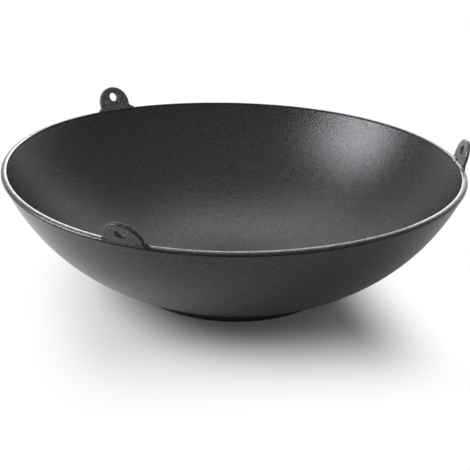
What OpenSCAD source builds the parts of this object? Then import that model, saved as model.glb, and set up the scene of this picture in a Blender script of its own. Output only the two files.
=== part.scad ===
// A cast iron wok for hanging over a fire, poured as one piece.
// Round bowl with a thin lip, rounded outside, a low solid foot to stand on,
// and three pierced lugs on the lip for a hanging chain.
// Millimetres. The bowl's axis is Z and the foot stands on Z = 0.

/* [Bowl] */

// Outside diameter over the lip
rim_d = 380; // [350:2:410]
// Height of the lip's top above the table
rim_h = 104; // [94:1:118]
// How far the wall bows out past a straight line from foot to lip, seen in section
wall_bow = 15.5; // [12:0.1:16.5]
// Thickness of the floor at its middle
floor_t = 5; // [4:0.2:8]

/* [Lip] */

// Width of the lip's top, from inside to outside
lip_w = 4.6; // [4.2:0.1:6]
// Height of the band that the lip makes on the outside
lip_h = 3; // [2.6:0.1:4]
// How far the lip stands out past the wall under it
lip_step = 0.8; // [0.2:0.1:1.5]
// Rounding of the lip's inner top corner, which stays crisp
lip_in_round = 0.4; // [0.2:0.1:0.6]
// Rounding of the lip's outer top corner
lip_out_round = 2; // [1:0.1:2.2]

/* [Foot] */

// Outside diameter of the foot where it stands
foot_d = 171; // [150:1:190]
// Height of the foot's side
foot_h = 6.6; // [5:0.2:9]
// How much narrower the foot's side is at its top, for the draft of the mould
foot_draft = 0.8; // [0.2:0.1:2]
// Ledge between the foot's side and the wall
foot_step = 0.5; // [0.2:0.1:2]
// Rounding of the foot's lower edge
foot_round = 1; // [0.4:0.1:2]

/* [Lugs] */

// Width of a lug across its round head
lug_w = 30; // [26:0.5:36]
// Height of a lug above the lip, along its own slope
lug_h = 21; // [18:0.5:26]
// Thickness of a lug
lug_t = 3.6; // [3:0.1:4.4]
// Rounding of a lug's edges
lug_edge = 0.8; // [0.4:0.1:1.3]
// Radius of the hollow curve from a lug's side down to the lip
lug_flare = 8; // [5:0.5:10]
// How far below the lip's top a lug's flares run out, so that no step is left
lug_sink = 1.1; // [0.8:0.1:1.6]
// Depth of a lug's root below the lip's top
lug_root = 2; // [1.8:0.1:2]

/* [Lug holes] */

// Diameter of the hole for a chain's hook
hole_d = 8; // [6:0.5:11]
// Height of the hole's centre above the lip, along the lug's slope
hole_up = 11.5; // [10:0.5:13]

/* [Lug places] */

// Direction of the right lug, anticlockwise from +X
lug_right_at = 3.5; // [-6:0.5:12]
// Outward lean of the right lug
lug_right_lean = 15; // [8:1:30]
// Direction of the back lug
lug_back_at = 127.5; // [118:0.5:134]
// Outward lean of the back lug
lug_back_lean = 25; // [8:1:30]
// Direction of the front lug
lug_front_at = 247; // [238:0.5:254]
// Outward lean of the front lug
lug_front_lean = 29; // [8:1:30]

/* [Hidden] */

cut = 1;
fine = 144;
small = 32;
iron = [0.16, 0.16, 0.17];

rim_r = rim_d / 2;
foot_r = foot_d / 2;

// The wall's outer curve runs from the foot's ledge to the underside of the lip
wall_top = [rim_r - lip_step, rim_h - lip_h];
wall_foot = [foot_r - foot_draft - foot_step, foot_h];
wall_chord = wall_top - wall_foot;
wall_half = norm(wall_chord) / 2;
wall_arc = (wall_half * wall_half + wall_bow * wall_bow) / (2 * wall_bow);
wall_mid = (wall_top + wall_foot) / 2;
wall_centre = wall_mid + (wall_arc - wall_bow) * [-wall_chord.y, wall_chord.x] / norm(wall_chord);

// The inside is one curve that leaves the flat middle of the floor level and ends in the lip
lip_mid = rim_h - lip_h / 2;
wall_end = lip_mid + 0.1;
floor_r = max(wall_centre.x, 5);
space_w = rim_r - lip_w - floor_r;
space_h = lip_mid - floor_t;
space_arc = (space_w * space_w + space_h * space_h) / (2 * space_h);

// A lug stands on the middle of the lip. Each flare just cuts into the head where one turns into the other
flare_bite = 0.05;
lug_r = rim_r - lip_w / 2;
head_r = lug_w / 2;
head_up = lug_h - head_r;
flare_up = lug_flare - lug_sink;
flare_off = head_r + lug_flare - flare_bite;
flare_x = sqrt(flare_off * flare_off - pow(flare_up - head_up, 2));

// Half of the wall, still solid, with its top hidden in the lip
module wall_section() {
    intersection() {
        translate(wall_centre)
            circle(r = wall_arc, $fn = fine);
        polygon([
            [0, foot_h - cut],
            [rim_r, foot_h - cut],
            [rim_r, rim_h - lip_h],
            [lug_r, wall_end],
            [0, wall_end]
        ]);
    }
}

// Half of the room inside the bowl
module space_section() {
    translate([0, floor_t])
        square([floor_r, rim_h]);
    intersection() {
        translate([floor_r, floor_t + space_arc])
            circle(r = space_arc, $fn = fine);
        translate([floor_r, 0])
            square([rim_r, rim_h + cut]);
    }
}

// The lip: a flat land with a crisp inner corner, and a full round down to the outer band
module lip_section() {
    translate([rim_r - lip_w, rim_h - lip_h])
        square([lip_w, lip_h - lip_out_round]);
    translate([rim_r - lip_w, rim_h - lip_h])
        square([lip_w - lip_out_round, lip_h - lip_in_round]);
    translate([rim_r - lip_w + lip_in_round, rim_h - lip_h])
        square([lip_w - lip_in_round - lip_out_round, lip_h]);
    translate([rim_r - lip_w + lip_in_round, rim_h - lip_in_round])
        circle(r = lip_in_round, $fn = small);
    translate([rim_r - lip_out_round, rim_h - lip_out_round])
        circle(r = lip_out_round, $fn = small);
}

// The foot: a solid pad with a drafted side and a soft lower edge
module foot_section() {
    polygon([
        [0, 0],
        [foot_r - foot_round, 0],
        [foot_r, foot_round],
        [foot_r - foot_draft, foot_h],
        [0, foot_h]
    ]);
    translate([foot_r - foot_round, foot_round])
        circle(r = foot_round, $fn = small);
}

module bowl() {
    rotate_extrude($fn = fine) {
        difference() {
            union() {
                wall_section();
                foot_section();
            }
            space_section();
        }
        lip_section();
    }
}

// Round head of a lug, with both edges rolled over.
// A lug is drawn flat: X along the lip, Y up the lug, Z through its thickness
module lug_head() {
    translate([0, head_up, 0])
        rotate_extrude($fn = fine) {
            translate([0, -lug_t / 2])
                square([head_r - lug_edge, lug_t]);
            translate([0, lug_edge - lug_t / 2])
                square([head_r, lug_t - 2 * lug_edge]);
            for (side = [-1, 1])
                translate([head_r - lug_edge, side * (lug_t / 2 - lug_edge)])
                    circle(r = lug_edge, $fn = small);
        }
}

// What a flare takes away: a reel that widens towards the lug's faces and leaves a rolled edge
module flare_reel() {
    rotate_extrude($fn = fine)
        difference() {
            translate([0, -lug_t / 2 - cut])
                square([lug_flare + lug_edge, lug_t + 2 * cut]);
            translate([lug_flare, lug_edge - lug_t / 2])
                square([2 * lug_edge, lug_t - 2 * lug_edge]);
            for (side = [-1, 1])
                translate([lug_flare + lug_edge, side * (lug_t / 2 - lug_edge)])
                    circle(r = lug_edge, $fn = small);
        }
}

// Neck of a lug, still straight-edged, from the root up into the head
module lug_neck() {
    translate([0, 0, -lug_t / 2])
        linear_extrude(height = lug_t)
            polygon([
                [-flare_x, -lug_h / 3],
                [flare_x, -lug_h / 3],
                [flare_x, flare_up],
                [0, head_up],
                [-flare_x, flare_up]
            ]);
}

module lug_plate() {
    difference() {
        union() {
            lug_head();
            lug_neck();
        }
        for (side = [-1, 1])
            translate([side * flare_x, flare_up, 0])
                flare_reel();
        translate([0, hole_up, -lug_t])
            cylinder(h = 2 * lug_t, d = hole_d, $fn = small);
    }
}

// Keeps a lug's root inside the lip, and lets the lug lean out above it
module lug_limits() {
    inside = rim_r - lip_w + 0.3;
    outside = rim_r - 0.3;
    rotate_extrude($fn = fine)
        polygon([
            [inside, rim_h - lug_root],
            [outside, rim_h - lug_root],
            [outside, rim_h - 0.3],
            [outside + lug_h, rim_h - 0.3 + lug_h],
            [outside + lug_h, rim_h + 2 * lug_h],
            [inside, rim_h + 2 * lug_h]
        ]);
}

module lug(at, lean) {
    intersection() {
        rotate([0, 0, at])
            translate([lug_r, 0, rim_h])
                rotate([0, lean, 0])
                    rotate([90, 0, 90])
                        lug_plate();
        lug_limits();
    }
}

module wok() {
    color(iron)
        union() {
            bowl();
            lug(lug_right_at, lug_right_lean);
            lug(lug_back_at, lug_back_lean);
            lug(lug_front_at, lug_front_lean);
        }
}

wok();
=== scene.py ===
import math

import bpy
from mathutils import Matrix, Vector


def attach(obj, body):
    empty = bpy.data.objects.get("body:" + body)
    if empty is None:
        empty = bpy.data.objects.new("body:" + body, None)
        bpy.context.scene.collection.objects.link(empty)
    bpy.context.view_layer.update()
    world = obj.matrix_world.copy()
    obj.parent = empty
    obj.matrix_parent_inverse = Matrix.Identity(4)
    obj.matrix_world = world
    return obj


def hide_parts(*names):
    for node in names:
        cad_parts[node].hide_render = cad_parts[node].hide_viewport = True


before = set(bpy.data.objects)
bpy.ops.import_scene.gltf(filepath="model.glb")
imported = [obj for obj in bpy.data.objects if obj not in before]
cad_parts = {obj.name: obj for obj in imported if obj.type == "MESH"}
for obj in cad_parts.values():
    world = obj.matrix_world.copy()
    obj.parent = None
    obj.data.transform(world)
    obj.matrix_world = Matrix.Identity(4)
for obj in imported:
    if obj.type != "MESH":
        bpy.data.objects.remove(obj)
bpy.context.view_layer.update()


# ---------------------------------------------------------------- the bowl
# A round cast iron bowl, poured in a sand mould in one piece with its lip and its foot.
# Its wall is a single shallow arc about 4 to 6 mm thick, swept round an upright axis, so the
# mesh is turned in the same way: one half section, drawn as lines and arcs, is carried round.


class Size:
    """A length or an angle inside a node tree, so that plain sums work one out from others."""

    def __init__(self, tree, value):
        self.tree, self.value = tree, value

    def _sum(self, operation, *terms):
        step = self.tree.nodes.new("ShaderNodeMath")
        step.operation = operation
        for socket, term in zip(step.inputs, terms):
            feed(self.tree, socket, term)
        return Size(self.tree, step.outputs[0])

    def __add__(self, other):
        return self._sum("ADD", self, other)

    def __radd__(self, other):
        return self._sum("ADD", other, self)

    def __sub__(self, other):
        return self._sum("SUBTRACT", self, other)

    def __rsub__(self, other):
        return self._sum("SUBTRACT", other, self)

    def __mul__(self, other):
        return self._sum("MULTIPLY", self, other)

    def __rmul__(self, other):
        return self._sum("MULTIPLY", other, self)

    def __truediv__(self, other):
        return self._sum("DIVIDE", self, other)

    def __rtruediv__(self, other):
        return self._sum("DIVIDE", other, self)

    def __neg__(self):
        return self._sum("MULTIPLY", self, -1.0)

    def root(self):
        return self._sum("SQRT", self)

    def floor(self):
        return self._sum("FLOOR", self)

    def remainder(self, other):
        return self._sum("MODULO", self, other)

    def cosine(self):
        return self._sum("COSINE", self)

    def sine(self):
        return self._sum("SINE", self)

    def angle_from(self, across):
        return self._sum("ARCTAN2", self, across)

    def at_least(self, other):
        return self._sum("MAXIMUM", self, other)

    def at_most(self, other):
        return self._sum("MINIMUM", self, other)


def feed(tree, socket, term):
    """Puts a number, a vector, a Size or another node's output into a socket."""
    if isinstance(term, Size):
        term = term.value
    if isinstance(term, bpy.types.NodeSocket):
        tree.links.new(term, socket)
    else:
        socket.default_value = term


def step(tree, kind, inputs=None, **settings):
    """Adds one node to a tree, with its settings and its inputs by name."""
    made = tree.nodes.new(kind)
    for name, value in settings.items():
        setattr(made, name, value)
    for name, term in (inputs or {}).items():
        feed(tree, made.inputs[name], term)
    return made


def new_recipe(name, sizes, whole=()):
    """A Geometry Nodes tree with a named input for each size; gives the tree and its inputs."""
    tree = bpy.data.node_groups.new(name, "GeometryNodeTree")
    tree.is_modifier = True
    tree.interface.new_socket(name="Mesh", in_out="OUTPUT", socket_type="NodeSocketGeometry")
    for label, value in sizes.items():
        kind = "NodeSocketInt" if label in whole else "NodeSocketFloat"
        socket = tree.interface.new_socket(name=label, in_out="INPUT", socket_type=kind)
        socket.default_value = value
    given = tree.nodes.new("NodeGroupInput")
    return tree, {label: Size(tree, given.outputs[label]) for label in sizes}


def in_order(tree, parts):
    """Joins parts, their points in the list's order. Join Geometry puts its newest link first."""
    join = tree.nodes.new("GeometryNodeJoinGeometry")
    for part in reversed(parts):
        tree.links.new(part, join.inputs[0])
    return join.outputs[0]


def line_of_points(tree, start, end, spacing):
    """A straight stretch of a section, from (out, up) to (out, up), in steps of about spacing."""
    ends = {}
    for name, (out, up) in (("Start", start), ("End", end)):
        ends[name] = step(tree, "ShaderNodeCombineXYZ", {"X": out, "Y": up}).outputs[0]
    line = step(tree, "GeometryNodeCurvePrimitiveLine", ends)
    return step(
        tree, "GeometryNodeResampleCurve", {"Curve": line.outputs[0], "Length": spacing},
        mode="LENGTH",
    ).outputs[0]


def arc_of_points(tree, middle, radius, start, sweep, points):
    """A round stretch of a section about middle, from the angle start through the angle sweep."""
    arc = step(
        tree, "GeometryNodeCurveArc",
        {"Resolution": points, "Radius": radius, "Start Angle": start, "Sweep Angle": sweep},
        mode="RADIUS",
    )
    shift = step(tree, "ShaderNodeCombineXYZ", {"X": middle[0], "Y": middle[1]})
    return step(
        tree, "GeometryNodeTransform", {"Geometry": arc.outputs[0], "Translation": shift.outputs[0]}
    ).outputs[0]


def sides_of(tree, vector):
    """A vector's X, Y and Z, as three Sizes."""
    apart = step(tree, "ShaderNodeSeparateXYZ", {"Vector": vector})
    return [Size(tree, apart.outputs[axis]) for axis in "XYZ"]


def own_place(tree):
    """The place of each point of a mesh."""
    return tree.nodes.new("GeometryNodeInputPosition").outputs[0]


def point_of(tree, curve, number):
    """The place of one point of a curve, by its number, as three Sizes."""
    pick = step(
        tree, "GeometryNodeSampleIndex", data_type="FLOAT_VECTOR", domain="POINT", clamp=True
    )
    feed(tree, pick.inputs["Geometry"], curve)
    feed(tree, pick.inputs["Value"], own_place(tree))
    feed(tree, pick.inputs["Index"], number)
    return sides_of(tree, pick.outputs[0])


def count_of(tree, curve):
    """How many points a curve has."""
    size = step(tree, "GeometryNodeAttributeDomainSize", {"Geometry": curve}, component="CURVE")
    return Size(tree, size.outputs["Point Count"])


def sheet_of(tree, rows, columns):
    """A flat grid whose points are then put in place; gives it and each point's row and column."""
    grid = step(tree, "GeometryNodeMeshGrid", {"Vertices X": rows, "Vertices Y": columns})
    number = Size(tree, tree.nodes.new("GeometryNodeInputIndex").outputs[0])
    over_rounding = 0.0001
    row = (number / columns + over_rounding).floor()
    return grid.outputs["Mesh"], row, number.remainder(columns)


def put(tree, mesh, x, y, z):
    """Moves each point of a mesh to a place worked out for it."""
    place = step(tree, "ShaderNodeCombineXYZ", {"X": x, "Y": y, "Z": z})
    return step(
        tree, "GeometryNodeSetPosition", {"Geometry": mesh, "Position": place.outputs[0]}
    ).outputs[0]


def close_up(tree, mesh, gap=0.00001):
    """Merges the points that lie on each other, which closes a seam or a pole."""
    return step(tree, "GeometryNodeMergeByDistance", {"Geometry": mesh, "Distance": gap}).outputs[0]


def unevenness(tree, mesh, depth, width, seed, keep_flat_below=None):
    """Sinks and lifts the skin of a casting a little, where the sand of its mould gave way."""
    place = own_place(tree)
    facing = tree.nodes.new("GeometryNodeInputNormal").outputs[0]
    shift = step(tree, "ShaderNodeCombineXYZ", {"X": seed, "Y": seed * 1.7, "Z": seed * 2.3})
    moved = step(tree, "ShaderNodeVectorMath", {0: place, 1: shift.outputs[0]}, operation="ADD")
    sand = step(
        tree, "ShaderNodeTexNoise",
        {"Vector": moved.outputs[0], "Scale": 1.0 / width, "Detail": 2.0, "Roughness": 0.5},
    )
    amount = (Size(tree, sand.outputs[0]) - 0.5) * 2.0 * depth
    if keep_flat_below is not None:
        fade, up = 0.004, sides_of(tree, place)[2]
        amount = amount * ((up - keep_flat_below) / fade).at_least(0.0).at_most(1.0)
    push = step(tree, "ShaderNodeVectorMath", {0: facing, "Scale": amount}, operation="SCALE")
    return step(
        tree, "GeometryNodeSetPosition", {"Geometry": mesh, "Offset": push.outputs[0]}
    ).outputs[0]


def keep_bare_share(tree, mesh, amount):
    """Keeps on the mesh how much black skin gives way to bare iron, 0 to 1, for the finish."""
    marked = step(
        tree, "GeometryNodeStoreNamedAttribute", {"Geometry": mesh, "Name": "bare_share"},
        data_type="FLOAT", domain="POINT",
    )
    feed(tree, marked.inputs["Value"], amount)
    return marked.outputs[0]


bowl_sizes = {
    "Rim Radius": 0.190,
    "Rim Height": 0.104,
    "Wall Bow": 0.0155,
    "Floor Thickness": 0.005,
    "Lip Width": 0.0046,
    "Lip Band": 0.0030,
    "Lip Step": 0.0008,
    "Lip Inner Round": 0.0006,
    "Lip Outer Round": 0.0022,
    "Lip Lower Round": 0.0006,
    "Lip Slope": math.radians(6),
    "Foot Radius": 0.0855,
    "Foot Height": 0.0066,
    "Foot Draft": 0.0008,
    "Foot Ledge": 0.0005,
    "Foot Round": 0.0010,
    "Mesh Step": 0.0040,
    "Corner Fine": 0.0012,
    "Steps Around": 432,
    "Sand Depth": 0.00012,
    "Sand Width": 0.045,
    "Sand Seed": 3.1,
    "Wear Glint Width": 0.0010,
    "Wear Glint Fade": 0.0014,
}
bowl_recipe, b = new_recipe("bowl_turning", bowl_sizes, whole=("Steps Around",))

# the wall's outer arc runs from the foot's ledge to the underside of the lip
top_out, top_up = b["Rim Radius"] - b["Lip Step"], b["Rim Height"] - b["Lip Band"]
low_out, low_up = b["Foot Radius"] - b["Foot Draft"] - b["Foot Ledge"], b["Foot Height"]
chord_out, chord_up = top_out - low_out, top_up - low_up
chord = (chord_out * chord_out + chord_up * chord_up).root()
wall_radius = (chord * chord / 4.0 + b["Wall Bow"] * b["Wall Bow"]) / (2.0 * b["Wall Bow"])
wall_out = (top_out + low_out) / 2.0 - (wall_radius - b["Wall Bow"]) * chord_up / chord
wall_up = (top_up + low_up) / 2.0 + (wall_radius - b["Wall Bow"]) * chord_out / chord

# the inside is one arc, level where it leaves the flat middle of the floor
lip_in = b["Rim Radius"] - b["Lip Width"]
lip_middle = b["Rim Height"] - b["Lip Band"] / 2.0
room_out = lip_in - wall_out
room_up = lip_middle - b["Floor Thickness"]
room_radius = (room_out * room_out + room_up * room_up) / (2.0 * room_up)
room_centre_up = b["Floor Thickness"] + room_radius
room_turn = room_out.angle_from(room_centre_up - lip_middle)

# the lip's two rounds, and the way its sloping top faces
slope_out, slope_up = b["Lip Slope"].sine(), b["Lip Slope"].cosine()
inner_out, inner_up = lip_in + b["Lip Inner Round"], b["Rim Height"] - b["Lip Inner Round"]
outer_out = b["Rim Radius"] - b["Lip Outer Round"]
round_gain = (b["Lip Inner Round"] - b["Lip Outer Round"]) / slope_up
outer_up = inner_up + round_gain - (outer_out - inner_out) * slope_out / slope_up

quarter = math.pi / 2
wall_start = (top_up - wall_up).angle_from(top_out - wall_out)
wall_end = (low_up - wall_up).angle_from(low_out - wall_out)
wall_turn = wall_end - wall_start

# the wall's faces are finer beside the lip and the foot, where a wide face would shade falsely
corner_points, round_points, outer_round_points = 5, 6, 8
wall_corner = b["Corner Fine"] / wall_radius
room_corner = b["Corner Fine"] / room_radius
lip_fine, band_fine, foot_fine, underside_fine = 0.0005, 0.0004, 0.0012, 0.006

foot_top_out = b["Foot Radius"] - b["Foot Draft"]
ledge_round, ledge_points, under_ledge = 0.0002, 3, 0.0003
section = in_order(bowl_recipe, [
    # floor of the bowl, from its middle, and the inside of the wall
    line_of_points(
        bowl_recipe, (0.0, b["Floor Thickness"]), (wall_out, b["Floor Thickness"]), b["Mesh Step"]
    ),
    arc_of_points(
        bowl_recipe, (wall_out, room_centre_up), room_radius,
        -quarter, room_turn - room_corner, room_turn * room_radius / b["Mesh Step"],
    ),
    arc_of_points(
        bowl_recipe, (wall_out, room_centre_up), room_radius,
        room_turn - quarter - room_corner, room_corner, corner_points,
    ),
    # lip: its top falls outwards from a small inner round to a wide outer one, over a low band
    line_of_points(bowl_recipe, (lip_in, lip_middle), (lip_in, inner_up), lip_fine),
    arc_of_points(
        bowl_recipe, (inner_out, inner_up), b["Lip Inner Round"],
        2 * quarter, -quarter - b["Lip Slope"], round_points,
    ),
    line_of_points(
        bowl_recipe,
        (inner_out + b["Lip Inner Round"] * slope_out, inner_up + b["Lip Inner Round"] * slope_up),
        (outer_out + b["Lip Outer Round"] * slope_out, outer_up + b["Lip Outer Round"] * slope_up),
        lip_fine,
    ),
    arc_of_points(
        bowl_recipe, (outer_out, outer_up), b["Lip Outer Round"],
        quarter - b["Lip Slope"], b["Lip Slope"] - quarter, outer_round_points,
    ),
    line_of_points(
        bowl_recipe, (b["Rim Radius"], outer_up),
        (b["Rim Radius"], top_up + b["Lip Lower Round"]), band_fine,
    ),
    arc_of_points(
        bowl_recipe, (b["Rim Radius"] - b["Lip Lower Round"], top_up + b["Lip Lower Round"]),
        b["Lip Lower Round"], 0.0, -quarter, round_points,
    ),
    # outside of the wall, down to the foot
    arc_of_points(
        bowl_recipe, (wall_out, wall_up), wall_radius, wall_start, -wall_corner, corner_points
    ),
    arc_of_points(
        bowl_recipe, (wall_out, wall_up), wall_radius, wall_start - wall_corner,
        wall_turn + 2.0 * wall_corner, -wall_turn * wall_radius / b["Mesh Step"],
    ),
    arc_of_points(
        bowl_recipe, (wall_out, wall_up), wall_radius, wall_end + wall_corner, -wall_corner,
        corner_points,
    ),
    # ledge, side and underside of the foot
    line_of_points(bowl_recipe, (low_out, low_up), (foot_top_out - ledge_round, low_up), band_fine),
    arc_of_points(
        bowl_recipe, (foot_top_out - ledge_round, low_up - ledge_round), ledge_round,
        quarter, -quarter, ledge_points,
    ),
    line_of_points(
        bowl_recipe, (foot_top_out, low_up - under_ledge), (b["Foot Radius"], b["Foot Round"]),
        foot_fine,
    ),
    arc_of_points(
        bowl_recipe, (b["Foot Radius"] - b["Foot Round"], b["Foot Round"]), b["Foot Round"],
        0.0, -quarter, round_points,
    ),
    line_of_points(
        bowl_recipe, (b["Foot Radius"] - b["Foot Round"], 0.0), (0.0, 0.0), underside_fine
    ),
])
turned, row, column = sheet_of(
    bowl_recipe, count_of(bowl_recipe, section), b["Steps Around"] + 1.0
)
out, up, _ = point_of(bowl_recipe, section, row)
turn = column / b["Steps Around"] * (2 * math.pi)
turned = put(bowl_recipe, turned, out * turn.cosine(), out * turn.sine(), up)
turned = close_up(bowl_recipe, turned)

# the lip's inner edge is bare bright iron: partly worn by ladles, partly a painted highlight for
# its glint
spot_x, spot_y, spot_up = sides_of(bowl_recipe, own_place(bowl_recipe))
past_edge = (spot_x * spot_x + spot_y * spot_y).root() - lip_in
wear_and_glint = (1.0 - (past_edge - b["Wear Glint Width"]) / b["Wear Glint Fade"]).at_least(0.0).at_most(1.0)
wear_glint_depth, wear_glint_start = 0.0012, 0.0006
wear_and_glint = wear_and_glint * ((spot_up - b["Rim Height"] + wear_glint_depth) / wear_glint_start).at_least(0.0).at_most(1.0)
# the painted highlight follows the rim's glint: most at the two sides, less along the front and
# none at the back; the places are shares of the rim's radius
least_wear_glint_at, side_from, side_fade, front_wear_glint = 0.15, 0.35, 0.25, 0.48
sideways = spot_x / b["Rim Radius"] - least_wear_glint_at
at_sides = ((sideways * sideways).root() - side_from) / side_fade
wear_and_glint = wear_and_glint * at_sides.at_least(front_wear_glint).at_most(1.0)
back_from, back_skew, back_fade = 0.35, 0.15, 0.3
in_front = (back_from - (spot_x * back_skew + spot_y) / b["Rim Radius"]) / back_fade
wear_and_glint = wear_and_glint * in_front.at_least(0.0).at_most(1.0)
turned = keep_bare_share(bowl_recipe, turned, wear_and_glint)
turned = unevenness(
    bowl_recipe, turned, b["Sand Depth"], b["Sand Width"], b["Sand Seed"], b["Foot Round"]
)
bowl_recipe.links.new(turned, bowl_recipe.nodes.new("NodeGroupOutput").inputs[0])


# ---------------------------------------------------------------- the three lugs
# Flat ears of cast iron, poured with the bowl, each with a round head, a hole for the hook of a
# hanging chain and a hollow flare down to the lip on either side. They stand on the middle of the
# lip and lean outwards, each by its own amount, as the mould's loose pieces settled.

lug_sizes = {
    "Width": 0.0306,
    "Height": 0.021,
    "Set Out": 0.0005,
    "Set Down": 0.0,
    "Thickness": 0.0032,
    "Edge Round": 0.0008,
    "Flare Radius": 0.0048,
    "Flare Sink": 0.0008,
    "Root Depth": 0.0020,
    "Hole Radius": 0.004,
    "Hole Height": 0.0115,
    "Hole Round": 0.0003,
    "Rim Radius": 0.190,
    "Rim Height": 0.104,
    "Lip Width": 0.0046,
    "Direction": 0.0,
    "Lean": 0.3,
    "Sand Depth": 0.00010,
    "Sand Width": 0.006,
    "Sand Seed": 7.0,
    "Bead Count": 12,
    "Bead Size": 0.00085,
    "Bead Glint": 0.5,
    "Bead Reach": 0.0,
    "Face Lightening": 0.17,
}
lug_recipe, g = new_recipe("lug_on_lip", lug_sizes, whole=("Bead Count",))

# outline, from the right flare's foot over the head to the left flare's foot, then round the root
head = g["Width"] / 2.0
head_up = g["Height"] - head
flare_up = g["Flare Radius"] - g["Flare Sink"]
overlap = 0.00005
apart = head + g["Flare Radius"] - overlap
rise = flare_up - head_up
flare_out = (apart * apart - rise * rise).root()
meet = rise.angle_from(flare_out)
flare_points, head_points, root_fine = 14, 60, 0.002
root_up = -g["Height"] / 3.0
outline = in_order(lug_recipe, [
    arc_of_points(
        lug_recipe, (flare_out, flare_up), g["Flare Radius"], -quarter, meet - quarter, flare_points
    ),
    arc_of_points(lug_recipe, (0.0, head_up), head, meet, 2 * quarter - 2.0 * meet, head_points),
    arc_of_points(
        lug_recipe, (-flare_out, flare_up), g["Flare Radius"], -meet, meet - quarter, flare_points
    ),
    line_of_points(lug_recipe, (-flare_out, -g["Flare Sink"]), (-flare_out, root_up), root_fine),
    line_of_points(lug_recipe, (-flare_out, root_up), (flare_out, root_up), root_fine),
    line_of_points(lug_recipe, (flare_out, root_up), (flare_out, -g["Flare Sink"]), root_fine),
])

# half of the lug's section, from the middle of the hole's wall over one face to the middle of its
# edge: X is 0 beside the hole and 1 beside the outline, Y is how far in from that side, and Z is
# up from the mid plane
half = g["Thickness"] / 2.0
edge = g["Edge Round"]
soft = g["Hole Round"]


def section_points(tree, runs):
    """Points of a half section, each as its three Sizes."""
    parts = []
    for start, end, points in runs:
        ends = {
            name: step(tree, "ShaderNodeCombineXYZ", dict(zip("XYZ", place))).outputs[0]
            for name, place in (("Start", start), ("End", end))
        }
        line = step(tree, "GeometryNodeCurvePrimitiveLine", ends)
        parts.append(step(
            tree, "GeometryNodeResampleCurve", {"Curve": line.outputs[0], "Count": points},
            mode="COUNT",
        ).outputs[0])
    return in_order(tree, parts)


def corner_runs(side, round_, start, turns):
    """A soft corner as short straight runs between points of a quarter circle."""
    stops = []
    for n in range(turns + 1):
        a = start + quarter * n / turns * (1 if start == 0 else -1)
        stops.append((side, round_ * (1.0 - math.cos(a)), half - round_ + round_ * math.sin(a)))
    return [(a, z, 2) for a, z in zip(stops, stops[1:])]


hole_turns, edge_turns, face_points = 3, 5, 16
runs = [((0.0, 0.0, 0.0), (0.0, 0.0, half - soft), 2)]
runs += corner_runs(0.0, soft, 0, hole_turns)
runs += [((0.0, soft, half), (1.0, edge, half), face_points)]
runs += corner_runs(1.0, edge, quarter, edge_turns)
runs += [((1.0, 0.0, half - edge), (1.0, 0.0, 0.0), 2)]
half_section = section_points(lug_recipe, runs)

face, row, column = sheet_of(
    lug_recipe, count_of(lug_recipe, half_section), count_of(lug_recipe, outline)
)
side, inset, high = point_of(lug_recipe, half_section, row)
edge_x, edge_y, _ = point_of(lug_recipe, outline, column)
ray_x, ray_y = edge_x, edge_y - g["Hole Height"]
ray = (ray_x * ray_x + ray_y * ray_y).root()
hole_x = ray_x / ray * (g["Hole Radius"] + inset)
hole_y = g["Hole Height"] + ray_y / ray * (g["Hole Radius"] + inset)
rim_x = edge_x - ray_x / ray * inset
rim_y = edge_y - ray_y / ray * inset
flat_x = hole_x + (rim_x - hole_x) * side
flat_y = hole_y + (rim_y - hole_y) * side
face = put(lug_recipe, face, flat_x, flat_y, high)
other_face = step(
    lug_recipe, "GeometryNodeTransform", {"Geometry": face, "Scale": (1.0, 1.0, -1.0)}
)
other_face = step(lug_recipe, "GeometryNodeFlipFaces", {"Mesh": other_face.outputs[0]})
plate = close_up(lug_recipe, in_order(lug_recipe, [face, other_face.outputs[0]]))
plate = unevenness(lug_recipe, plate, g["Sand Depth"], g["Sand Width"], g["Sand Seed"])
# each lug's faces are lightened towards bare grey iron, by an amount of its own
plate = keep_bare_share(lug_recipe, plate, g["Face Lightening"])

# rough beads of iron left in the corner between each face and the lip, where the sand broke away
number = Size(lug_recipe, lug_recipe.nodes.new("GeometryNodeInputIndex").outputs[0])
bead_line = step(lug_recipe, "GeometryNodeMeshLine", {"Count": g["Bead Count"]}, mode="OFFSET")


def chance(tree, low, high, seed):
    """A random number for each point, always the same one."""
    made = step(tree, "FunctionNodeRandomValue", data_type="FLOAT")
    feed(tree, made.inputs[2], low)
    feed(tree, made.inputs[3], high)
    feed(tree, made.inputs["Seed"], seed)
    return Size(tree, made.outputs[1])


which_face = number.remainder(2.0) * 2.0 - 1.0
flare_share, inner_raise, sunk = 0.4, -0.00012, 0.00005
bead_run = head + g["Flare Radius"] * flare_share
bead_x = ((number + chance(lug_recipe, -0.8, 0.8, 1)) / g["Bead Count"] - 0.5) * 2.0 * bead_run
bead_y = which_face * inner_raise + chance(lug_recipe, 0.0001, 0.0007, 2)
bead_z = which_face * (half - sunk + g["Bead Reach"])
bead_spots = put(lug_recipe, bead_line.outputs[0], bead_x, bead_y, bead_z)
bead = step(lug_recipe, "GeometryNodeMeshIcoSphere", {"Radius": 1.0, "Subdivisions": 2})
bead_scale = step(lug_recipe, "ShaderNodeCombineXYZ", {
    "X": g["Bead Size"] * chance(lug_recipe, 0.7, 1.8, 3),
    "Y": g["Bead Size"] * chance(lug_recipe, 0.5, 1.0, 4),
    "Z": g["Bead Size"] * chance(lug_recipe, 0.5, 0.9, 5),
})
beads = step(
    lug_recipe, "GeometryNodeInstanceOnPoints",
    {"Points": bead_spots, "Instance": bead.outputs[0], "Scale": bead_scale.outputs[0]},
)
beads = step(lug_recipe, "GeometryNodeRealizeInstances", {"Geometry": beads.outputs[0]}).outputs[0]
bead_roughness, bead_grain = 0.00022, 0.0011
beads = unevenness(lug_recipe, beads, bead_roughness, bead_grain, g["Sand Seed"])
# the beads' bare bright iron is a painted glint on the rough lumps
beads = keep_bare_share(lug_recipe, beads, g["Bead Glint"])
plate = in_order(lug_recipe, [plate, beads])

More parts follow.
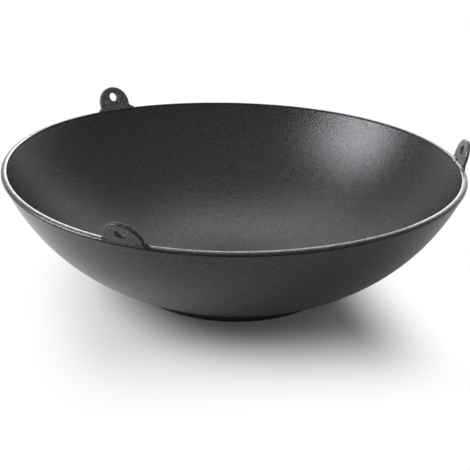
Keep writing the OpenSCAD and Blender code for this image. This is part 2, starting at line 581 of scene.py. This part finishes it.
# stood on the lip, leaning out, with its root kept inside the lip; only the beads may hang over it
along, tall, thick = sides_of(lug_recipe, own_place(lug_recipe))
foot_out = g["Rim Radius"] - g["Lip Width"] / 2.0 + g["Set Out"]
stand_out = foot_out + thick * g["Lean"].cosine() + tall * g["Lean"].sine()
stand_up = g["Rim Height"] - g["Set Down"] - thick * g["Lean"].sine() + tall * g["Lean"].cosine()
stand_up = stand_up.at_least(g["Rim Height"] - g["Root Depth"])
reach = (stand_out * stand_out + along * along).root()
inside_lip, bead_spill = 0.0003, 2.5
over_lip = (stand_up - g["Rim Height"] + inside_lip).at_least(0.0)
nearest = g["Rim Radius"] - g["Lip Width"] + inside_lip - over_lip * bead_spill
kept = reach.at_least(nearest).at_most(g["Rim Radius"] - inside_lip + over_lip)
stand_out, along = stand_out * kept / reach, along * kept / reach
plate = put(
    lug_recipe, plate,
    stand_out * g["Direction"].cosine() - along * g["Direction"].sine(),
    stand_out * g["Direction"].sine() + along * g["Direction"].cosine(),
    stand_up,
)
lug_recipe.links.new(plate, lug_recipe.nodes.new("NodeGroupOutput").inputs[0])


# ---------------------------------------------------------------- the finished casting
# Bowl and lugs come out of the mould as one piece of grey iron. It is oiled and baked, which
# leaves a satin black skin over the fine pebbly grain of the moulding sand.

iron = bpy.data.materials.new("seasoned_cast_iron")
iron.use_nodes = True
skin = iron.node_tree
skin.nodes.clear()
finish = step(skin, "ShaderNodeBsdfPrincipled")
skin.links.new(finish.outputs[0], skin.nodes.new("ShaderNodeOutputMaterial").inputs["Surface"])
finish.inputs["IOR"].default_value = 1.5
where = step(skin, "ShaderNodeTexCoord").outputs["Object"]


def grain(size, detail, rough=0.55):
    """Noise of a real size in metres, over the iron."""
    return step(
        skin, "ShaderNodeTexNoise",
        {"Vector": where, "Scale": 1.0 / size, "Detail": detail, "Roughness": rough},
    ).outputs[0]


def between(amount, low, high, dark, light):
    """Runs from dark to light while amount runs from low to high."""
    return step(
        skin, "ShaderNodeMapRange",
        {"Value": amount, "From Min": low, "From Max": high, "To Min": dark, "To Max": light},
    ).outputs[0]


oil_patches = grain(0.05, 3.0)
sand = grain(0.0017, 2.0)
pebble = grain(0.0045, 2.0)
dust = grain(0.0008, 1.0)

# fine marks round the bowl, from smoothing the mould with a turning board
marks_around, mark_width, off_axis = 22.0, 0.0016, 1e-8
board_x, board_y, board_up = sides_of(skin, where)
board_out = (board_x * board_x + board_y * board_y + off_axis).root()
board_mark = step(skin, "ShaderNodeCombineXYZ", {
    "X": board_x / board_out * marks_around,
    "Y": board_y / board_out * marks_around,
    "Z": (board_out + board_up) / mark_width,
})
marks = step(
    skin, "ShaderNodeTexNoise", {"Vector": board_mark.outputs[0], "Scale": 1.0, "Detail": 2.0}
).outputs[0]

# black iron oxide and oil, darker in the hollows of the grain
tone = step(skin, "ShaderNodeValToRGB", {"Fac": sand})
hollows, tops = tone.color_ramp.elements
hollows.position, hollows.color = 0.32, (0.011, 0.011, 0.012, 1)
tops.position, tops.color = 0.70, (0.033, 0.032, 0.033, 1)

# bare iron where the mesh marks it, broken up by the grain
# on the lip it is partly wear and partly a painted highlight, on the beads a painted glint
bare_share = Size(skin, step(skin, "ShaderNodeAttribute", attribute_name="bare_share").outputs["Fac"])
bare_strength, bare_grain = 1.5, 0.003
held_on = Size(skin, between(grain(bare_grain, 3.0), 0.3, 0.7, 0.1, 0.5))
bare = (bare_share * bare_strength - held_on).at_least(0.0).at_most(1.0)
colour = step(skin, "ShaderNodeMix", data_type="RGBA")
feed(skin, colour.inputs[0], bare)
feed(skin, colour.inputs[6], tone.outputs[0])
colour.inputs[7].default_value = (0.50, 0.49, 0.48, 1)
skin.links.new(colour.outputs[2], finish.inputs["Base Color"])
feed(skin, finish.inputs["Metallic"], bare)
skin.links.new(between(oil_patches, 0.3, 0.7, 0.20, 0.26), finish.inputs["Roughness"])
# the baked oil lies thin on the tops of the grain and thicker between them, so its shine varies
skin.links.new(between(sand, 0.33, 0.67, 0.44, 0.56), finish.inputs["Specular IOR Level"])
rough_height = Size(skin, sand) * 0.65 + Size(skin, pebble) * 0.1
rough_height = rough_height + Size(skin, dust) * 0.35 + Size(skin, marks) * 0.5
bump = step(skin, "ShaderNodeBump", {"Height": rough_height, "Strength": 0.9, "Distance": 0.0004})
skin.links.new(bump.outputs[0], finish.inputs["Normal"])

lug_places = {
    "Right Lug Direction": math.radians(3.5), "Right Lug Lean": math.radians(15),
    "Back Lug Direction": math.radians(127.5), "Back Lug Lean": math.radians(25),
    "Front Lug Direction": math.radians(247), "Front Lug Lean": math.radians(29),
}
rim_pull = {
    "Rim Lift": 0.00092, "Saddle Along": 0.00103, "Saddle Across": -0.00099,
    "Wave Along": -0.00049, "Wave Across": 0.00021,
}
casting_sizes = {**lug_places, **rim_pull}
casting_recipe, c = new_recipe("wok_casting", casting_sizes)
parts = [step(casting_recipe, "GeometryNodeGroup", node_tree=bowl_recipe).outputs[0]]
# the right lug is the roughest, and the back one came out clean
lug_kinds = {
    "Right": {
        "Width": 0.0300, "Thickness": 0.0030, "Set Out": 0.0003, "Set Down": 0.0007,
        "Bead Size": 0.0026, "Bead Glint": 0.62, "Bead Reach": 0.0014, "Face Lightening": 0.36,
    },
    "Back": {"Bead Size": 0.0004, "Bead Glint": 0.0, "Face Lightening": 0.34},
    "Front": {"Set Down": 0.0005, "Bead Size": 0.0009, "Bead Glint": 0.4, "Face Lightening": 0.17},
}
for number, (side_name, own_sizes) in enumerate(lug_kinds.items()):
    parts.append(step(
        casting_recipe, "GeometryNodeGroup",
        {
            "Direction": c[side_name + " Lug Direction"], "Lean": c[side_name + " Lug Lean"],
            "Sand Seed": lug_sizes["Sand Seed"] + number, **own_sizes,
        },
        node_tree=lug_recipe,
    ).outputs[0])
poured = step(
    casting_recipe, "GeometryNodeRealizeInstances", {"Geometry": in_order(casting_recipe, parts)}
)

# cooling pulled the round lip out of its plane by up to 3 mm: down by the front lug and a little at
# the back, up on the left and at the right front; the foot stayed flat
spot_x, spot_y, spot_up = sides_of(casting_recipe, own_place(casting_recipe))
raised = (spot_up / bowl_sizes["Rim Height"]).at_least(0.0).at_most(1.0)
saddle = (spot_x * spot_x - spot_y * spot_y) * c["Saddle Along"]
saddle = saddle + 2.0 * spot_x * spot_y * c["Saddle Across"]
wave = (spot_x * spot_x - 3.0 * spot_y * spot_y) * spot_x * c["Wave Along"]
wave = wave + (3.0 * spot_x * spot_x - spot_y * spot_y) * spot_y * c["Wave Across"]
rim = bowl_sizes["Rim Radius"]
pull = c["Rim Lift"] + saddle / rim ** 2 + wave / rim ** 3
lift = step(casting_recipe, "ShaderNodeCombineXYZ", {"Z": pull * raised * raised})
poured = step(
    casting_recipe, "GeometryNodeSetPosition",
    {"Geometry": poured.outputs[0], "Offset": lift.outputs[0]},
)
poured = step(
    casting_recipe, "GeometryNodeSetMaterial", {"Geometry": poured.outputs[0], "Material": iron}
)
casting_recipe.links.new(poured.outputs[0], casting_recipe.nodes.new("NodeGroupOutput").inputs[0])

mould = bpy.data.objects.new("wok_mould", bpy.data.meshes.new("wok_mould"))
bpy.context.scene.collection.objects.link(mould)
pour = mould.modifiers.new("pour", "NODES")
pour.node_group = casting_recipe
for socket in casting_recipe.interface.items_tree:
    if socket.in_out == "INPUT":
        pour[socket.identifier] = casting_sizes[socket.name]
cast_mesh = bpy.data.meshes.new_from_object(
    mould.evaluated_get(bpy.context.evaluated_depsgraph_get())
)
bpy.data.objects.remove(mould)
cast_mesh.shade_smooth()
wok = bpy.data.objects.new("wok_casting", cast_mesh)
bpy.context.scene.collection.objects.link(wok)
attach(wok, "root")
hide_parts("wok")


# ---------------------------------------------------------------- the table
# A plain white table top that the wok stands on, matt and clean. Seen by the camera it is white but
# for the soft shadow round the foot, and behind the wok it is white where the iron mirrors it too.

table_mesh = bpy.data.meshes.new("table_top")
table_reach, table_front = 6.0, 0.28
table_mesh.from_pydata(
    [(-table_reach, -table_front, 0.0), (table_reach, -table_front, 0.0),
     (table_reach, table_reach, 0.0), (-table_reach, table_reach, 0.0)], [], [(0, 1, 2, 3)]
)
table_top = bpy.data.objects.new("table_top", table_mesh)
bpy.context.scene.collection.objects.link(table_top)
table_paint = bpy.data.materials.new("white_table")
table_paint.use_nodes = True
table_paint.node_tree.nodes.clear()
table_nodes = table_paint.node_tree
matt = step(table_nodes, "ShaderNodeBsdfDiffuse", {"Color": (0.87, 0.87, 0.84, 1)})
lit = step(table_nodes, "ShaderNodeEmission", {"Color": (1, 1, 1, 1), "Strength": 1.0})
ray = step(table_nodes, "ShaderNodeLightPath")
spot = step(table_nodes, "ShaderNodeTexCoord").outputs["Object"]


def rise_between(tree, amount, low, high):
    """Rises smoothly from 0 at low to 1 at high."""
    eased = step(
        tree, "ShaderNodeMapRange", {"Value": amount, "From Min": low, "From Max": high},
        interpolation_type="SMOOTHSTEP",
    )
    return Size(tree, eased.outputs[0])


def reach_from(tree, place, centre):
    """How far a place is from a centre, in metres."""
    measured = step(tree, "ShaderNodeVectorMath", {0: place, 1: centre}, operation="DISTANCE")
    return Size(tree, measured.outputs["Value"])


def seen_in_iron(tree, seen):
    """1 for a ray that a shiny or clear surface sent on, which shows the white backdrop too."""
    shiny = Size(tree, seen.outputs["Is Glossy Ray"])
    clear = Size(tree, seen.outputs["Is Transmission Ray"])
    return (shiny + clear).at_most(1.0)


from_wok = reach_from(table_nodes, spot, (0.0, 0.0, 0.0))
table_x, table_y, _ = sides_of(table_nodes, spot)
# the shadow's patch runs along the table, turned a little to the right, and fades at its sides and
# in front; a trace of white is left even in its middle
patch_out, patch_turn, patch_shift = 0.975, 0.227, 0.022
shade_side = table_x * patch_out + table_y * patch_turn + patch_shift
in_side = 1.0 - rise_between(table_nodes, (shade_side * shade_side).root(), 0.089, 0.165)
front_turn, front_out = 0.184, 0.983
shade_front = table_x * front_turn - table_y * front_out
in_front = 1.0 - rise_between(table_nodes, shade_front, 0.095, 0.231)
full_shade = 0.98
near_white = 1.0 - in_side * in_front * full_shade
far_white = rise_between(table_nodes, from_wok, 0.35, 0.65)
far_white = far_white * rise_between(table_nodes, table_y, -0.25, 0.05)
camera_sees = Size(table_nodes, ray.outputs["Is Camera Ray"]) * near_white
whitened = (camera_sees + seen_in_iron(table_nodes, ray) * far_white).at_most(1.0)
table_blend = step(
    table_nodes, "ShaderNodeMixShader", {0: whitened, 1: matt.outputs[0], 2: lit.outputs[0]}
)
table_skin = table_nodes.nodes.new("ShaderNodeOutputMaterial")
table_nodes.links.new(table_blend.outputs[0], table_skin.inputs["Surface"])
table_mesh.materials.append(table_paint)


# ---------------------------------------------------------------- the light
# One large soft lamp on the left, a broad one low behind the wok, a third overhead, and a pale
# studio all round that is brightest behind the wok. The lamps themselves are out of the picture.


def lamp(name, place, aim, size, power):
    """A rectangular soft lamp at place, turned towards aim."""
    light = bpy.data.lights.new(name, "AREA")
    light.shape, light.size, light.size_y = "RECTANGLE", size[0], size[1]
    light.energy = power
    made = bpy.data.objects.new(name, light)
    made.location = place
    made.rotation_euler = (Vector(aim) - Vector(place)).to_track_quat("-Z", "Y").to_euler()
    bpy.context.scene.collection.objects.link(made)
    return made


def from_bearing(azimuth, height, distance):
    """A place at an azimuth from the front, to the right, and a height, both in degrees."""
    a, e = math.radians(azimuth), math.radians(height)
    return Vector((math.sin(a) * math.cos(e), -math.cos(a) * math.cos(e), math.sin(e))) * distance


left_lamp = lamp(
    "left_soft_lamp", (-1.237, -0.116, 0.907), (0.088, 0.142, 0.019), (0.93, 0.81), 24.2
)
back_lamp = lamp("back_soft_lamp", (0.10, 1.9, 0.74), (0, 0, 0.10), (2.0, 1.2), 11.05)
top_lamp = lamp(
    "overhead_soft_lamp", from_bearing(-168, 58, 2.0), (0, 0, 0.05), (1.5, 1.1), 8.0
)
left_lamp.data.color = (0.95, 0.94, 1.0)
for light in (left_lamp, back_lamp, top_lamp):
    light.visible_camera = False

studio = bpy.data.worlds.new("pale_studio")
bpy.context.scene.world = studio
studio.use_nodes = True
air = studio.node_tree
air.nodes.clear()
seen = step(air, "ShaderNodeLightPath")
right_of, away, above = sides_of(air, step(air, "ShaderNodeTexCoord").outputs["Generated"])
behind, high, low_glow = (away - 0.45).at_least(0.0), above.at_least(-0.35), 0.15
glow = low_glow + behind * 1.3 + high * 0.33 + right_of.at_least(0.0) * 0.12
# the white backdrop as the iron mirrors it: behind the wok, up to a little above the table
backdrop = ((away + 0.1) / 0.3).at_least(0.0).at_most(1.0)
backdrop = backdrop * ((0.20 - above) / 0.1).at_least(0.0).at_most(1.0)
camera_sees = Size(air, seen.outputs["Is Camera Ray"])
shown = (camera_sees + seen_in_iron(air, seen) * backdrop).at_most(1.0)
soft = step(air, "ShaderNodeBackground", {"Color": (1, 1, 1, 1), "Strength": glow})
white = step(air, "ShaderNodeBackground", {"Color": (1, 1, 1, 1), "Strength": 1.0})
mix = step(air, "ShaderNodeMixShader", {0: shown, 1: soft.outputs[0], 2: white.outputs[0]})
air.links.new(mix.outputs[0], air.nodes.new("ShaderNodeOutputWorld").inputs["Surface"])


# ---------------------------------------------------------------- the camera
# The photograph's own viewpoint, found from the round rim and the round foot: about 0.9 m away
# and 18.6 degrees above the rim, with a lens of about 84 mm.

picture_width_px, focal_length_px, film_width_mm = 470, 1099.25, 36.0
rise_angle, distance = math.radians(18.604), 0.91244
pan, tilt, roll = math.radians(0.1079), math.radians(-3.745), math.radians(1.3895)
rim_middle = Vector((0, 0, bowl_sizes["Rim Height"]))

camera_data = bpy.data.cameras.new("camera")
camera_data.sensor_width = film_width_mm
camera_data.lens = focal_length_px / picture_width_px * film_width_mm
camera = bpy.data.objects.new("camera", camera_data)
bpy.context.scene.collection.objects.link(camera)
stand = Vector((0.0, -math.cos(rise_angle), math.sin(rise_angle))) * distance
ahead = -stand.normalized()
across = ahead.cross(Vector((0, 0, 1))).normalized()
over = across.cross(ahead)
ahead = (ahead + across * math.tan(pan) + over * math.tan(tilt)).normalized()
across = ahead.cross(over).normalized()
over = across.cross(ahead)
rolled_across = across * math.cos(roll) + over * math.sin(roll)
rolled_over = over * math.cos(roll) - across * math.sin(roll)
turned_to = Matrix((rolled_across, rolled_over, -ahead)).transposed().to_4x4()
camera.matrix_world = Matrix.Translation(stand + rim_middle) @ turned_to
bpy.context.scene.camera = camera
bpy.context.scene.view_settings.view_transform = "Standard"
